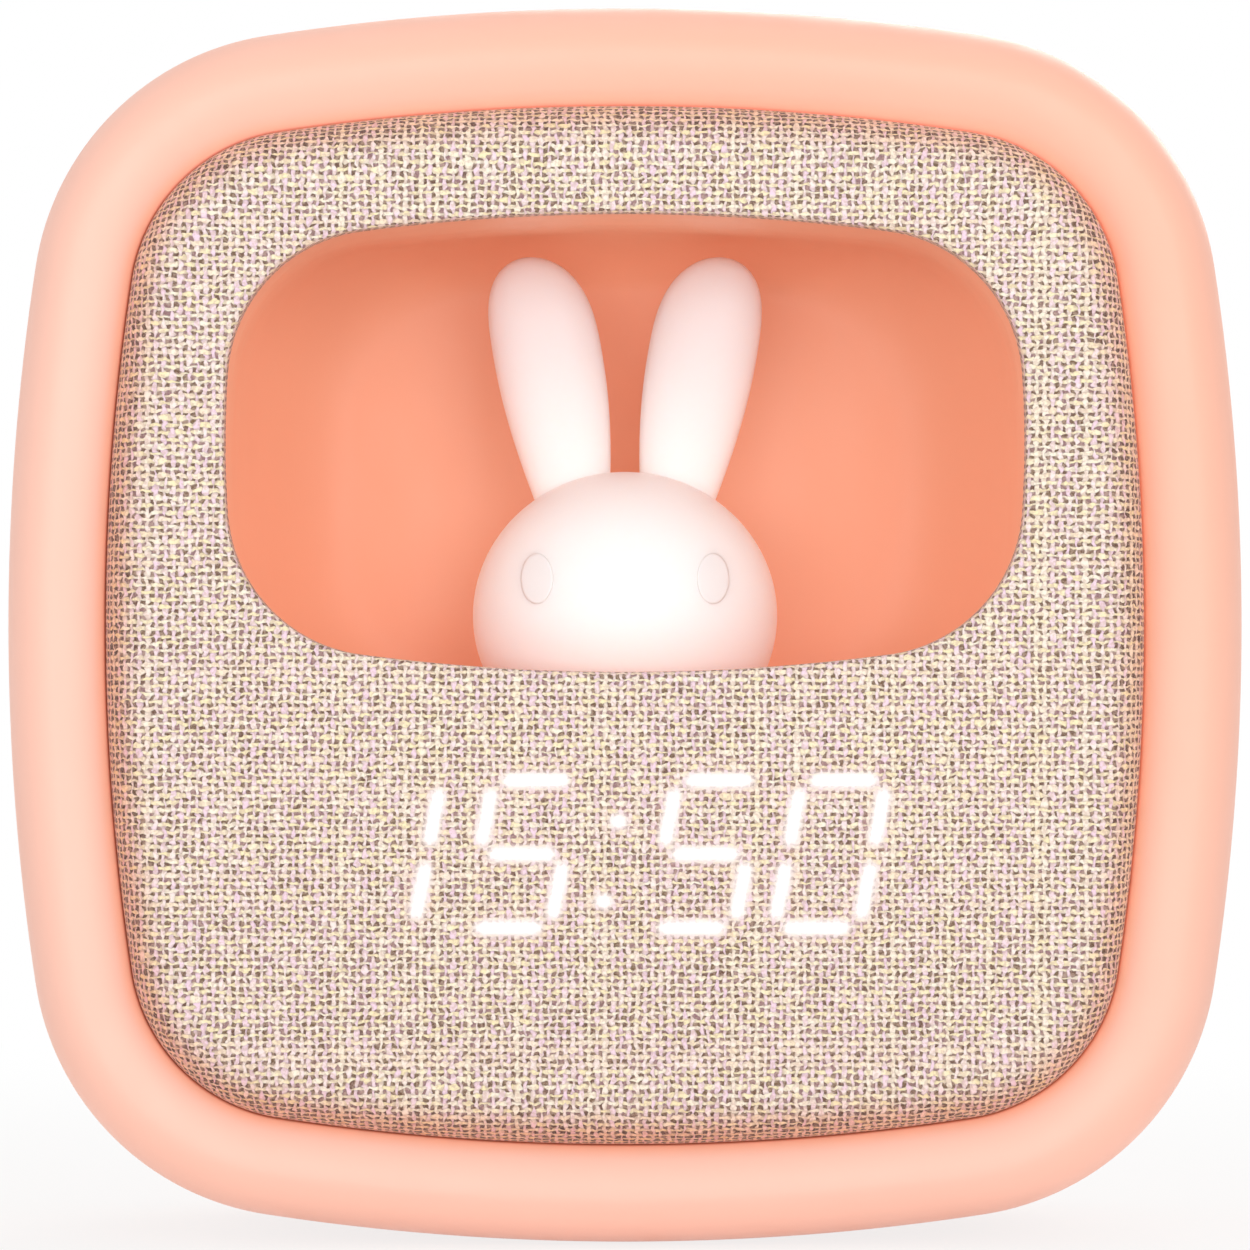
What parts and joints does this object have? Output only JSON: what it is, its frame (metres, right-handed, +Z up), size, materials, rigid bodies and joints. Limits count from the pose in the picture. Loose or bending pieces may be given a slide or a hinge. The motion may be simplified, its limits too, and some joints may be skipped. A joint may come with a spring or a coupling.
{
  "type": "alarm clock with night light",
  "caption": "Bedside alarm clock with a soft-cornered case, a woven front, a lit display behind the weave and a night-light figure in an alcove.",
  "frame": {"origin": "centre of the base, on the surface that the clock stands on", "axes": "+Z up, front towards -Y, +X to the right seen from the front"},
  "size_m": [0.13, 0.06, 0.1302],
  "materials": {
    "case_plastic": "soft-touch satin moulding",
    "fascia_plastic": "plain moulding",
    "woven_fabric": "cream slubbed plain weave",
    "alcove_plastic": "smooth satin moulding",
    "figure_silicone": "translucent satin silicone",
    "white_board": "white solder mask",
    "lamp_resin": "clear lamp resin",
    "diffuser_film": "frosted",
    "white_plastic": "plain moulding",
    "segment_resin": "milky resin",
    "green_board": "solder mask",
    "black_plastic": "moulded",
    "ribbon_plastic": "flat cable",
    "bright_metal": "plated sheet",
    "spring_steel": "spring wire",
    "slider_plastic": "ribbed",
    "button_rubber": "soft matt",
    "dark_steel": "painted",
    "magnet_steel": "zinc plated",
    "cone_paper": "coated paper",
    "foam_black": "closed foam",
    "cell_wrap": "printed sleeve without marks",
    "pad_rubber": "silicone",
    "screw_steel": "zinc plated",
    "lead_red": "insulation",
    "lead_white": "insulation"
  },
  "bodies": {
    "housing": {"front_shell": "case_plastic", "rear_cover": "case_plastic", "fascia_plate": "fascia_plastic", "fabric_cover": "woven_fabric", "alcove_liner": "alcove_plastic", "figure_base": "case_plastic", "rabbit_body": "figure_silicone", "rabbit_head": "figure_silicone", "rabbit_ear_left": "figure_silicone", "rabbit_ear_right": "figure_silicone", "night_light_board": "white_board", "night_light_lamps": "lamp_resin", "display_diffuser": "diffuser_film", "display_housing": "white_plastic", "display_segments": "segment_resin", "display_board": "green_board", "display_chip": "black_plastic", "display_ribbon": "ribbon_plastic", "main_board": "green_board", "main_chips": "black_plastic", "main_capacitor": "black_plastic", "backup_cell": "bright_metal", "tact_switches": "black_plastic", "slide_switch_body": "bright_metal", "usb_socket": "bright_metal", "speaker_basket": "dark_steel", "speaker_magnet": "magnet_steel", "speaker_cone": "cone_paper", "speaker_gasket": "foam_black", "battery_tray": "white_plastic", "battery_cells": "cell_wrap", "battery_springs": "spring_steel", "battery_plates": "bright_metal", "base_pad": "pad_rubber", "housing_screws": "screw_steel", "fascia_screws": "screw_steel", "liner_screws": "screw_steel", "display_screws": "screw_steel", "board_screws": "screw_steel", "lamp_board_screws": "screw_steel", "speaker_screws": "screw_steel", "speaker_lead": "lead_red", "battery_lead": "lead_red", "night_light_lead": "lead_white"},
    "mode_key": {"mode_button": "button_rubber"},
    "set_key": {"set_button": "button_rubber"},
    "up_key": {"up_button": "button_rubber"},
    "down_key": {"down_button": "button_rubber"},
    "alarm_key": {"alarm_button": "button_rubber"},
    "switch_slider": {"power_slider": "slider_plastic"},
    "door": {"battery_door": "case_plastic", "door_screw": "screw_steel"}
  },
  "joints": [
    {"name": "mode_press", "type": "slide", "parent": "housing", "child": "mode_key", "axis": [0, -1, 0], "range_m": [0, 0.0008], "stiffness_N_per_m": 1500, "springref_m": -0.0005},
    {"name": "set_press", "type": "slide", "parent": "housing", "child": "set_key", "axis": [0, -1, 0], "range_m": [0, 0.0008], "stiffness_N_per_m": 1500, "springref_m": -0.0005},
    {"name": "up_press", "type": "slide", "parent": "housing", "child": "up_key", "axis": [0, -1, 0], "range_m": [0, 0.0008], "stiffness_N_per_m": 1500, "springref_m": -0.0005},
    {"name": "down_press", "type": "slide", "parent": "housing", "child": "down_key", "axis": [0, -1, 0], "range_m": [0, 0.0008], "stiffness_N_per_m": 1500, "springref_m": -0.0005},
    {"name": "alarm_press", "type": "slide", "parent": "housing", "child": "alarm_key", "axis": [0, -1, 0], "range_m": [0, 0.0008], "stiffness_N_per_m": 1500, "springref_m": -0.0005},
    {"name": "power_slide", "type": "slide", "parent": "housing", "child": "switch_slider", "axis": [1, 0, 0], "range_m": [0, 0.003]},
    {"name": "door_lift", "type": "slide", "parent": "housing", "child": "door", "axis": [0, 1, 0], "range_m": [0, 0.03]}
  ]
}
